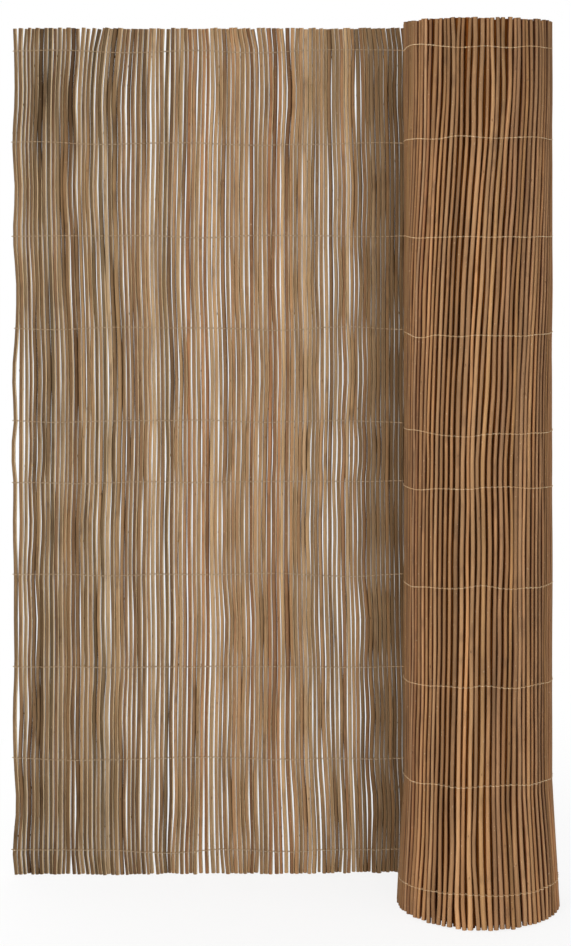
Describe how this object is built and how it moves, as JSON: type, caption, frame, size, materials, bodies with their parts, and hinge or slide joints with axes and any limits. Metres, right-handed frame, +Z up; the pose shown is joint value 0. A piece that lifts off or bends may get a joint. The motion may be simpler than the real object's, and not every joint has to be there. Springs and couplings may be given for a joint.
{
  "type": "willow screening fence",
  "caption": "Willow screening mat standing on its end, mostly rolled up round an open hollow, with a flat loose flap. Slim rods lie side by side, laced by rows of thin wire.",
  "frame": {"origin": "on the floor, on the axis of the roll's hollow", "axes": "+Z up, along the roll's axis and the rods; -X along the loose flap, towards its free edge; +Y towards the side of the roll that the flap leaves from, away from the viewer"},
  "size_m": [0.631, 0.19, 1],
  "materials": {
    "flap_willow": "dry willow rods, grey-brown bark, matt",
    "turn_willow": "dry willow rods, warm brown bark, matt",
    "rolled_willow": "dry willow, warm brown, matt",
    "binding_wire": "thin galvanised wire, dull"
  },
  "bodies": {
    "root": {"inner_turns": "rolled_willow", "outer_turn_rods_1": "turn_willow", "outer_turn_rods_2": "turn_willow", "outer_turn_rods_3": "turn_willow", "outer_turn_rods_4": "turn_willow", "flap_rods_1": "flap_willow", "flap_rods_2": "flap_willow", "flap_rods_3": "flap_willow", "flap_rods_4": "flap_willow", "flap_rods_5": "flap_willow", "binding_wire_01": "binding_wire", "binding_wire_02": "binding_wire", "binding_wire_03": "binding_wire", "binding_wire_04": "binding_wire", "binding_wire_05": "binding_wire", "binding_wire_06": "binding_wire", "binding_wire_07": "binding_wire", "binding_wire_08": "binding_wire", "binding_wire_09": "binding_wire", "binding_wire_10": "binding_wire"}
  },
  "joints": []
}
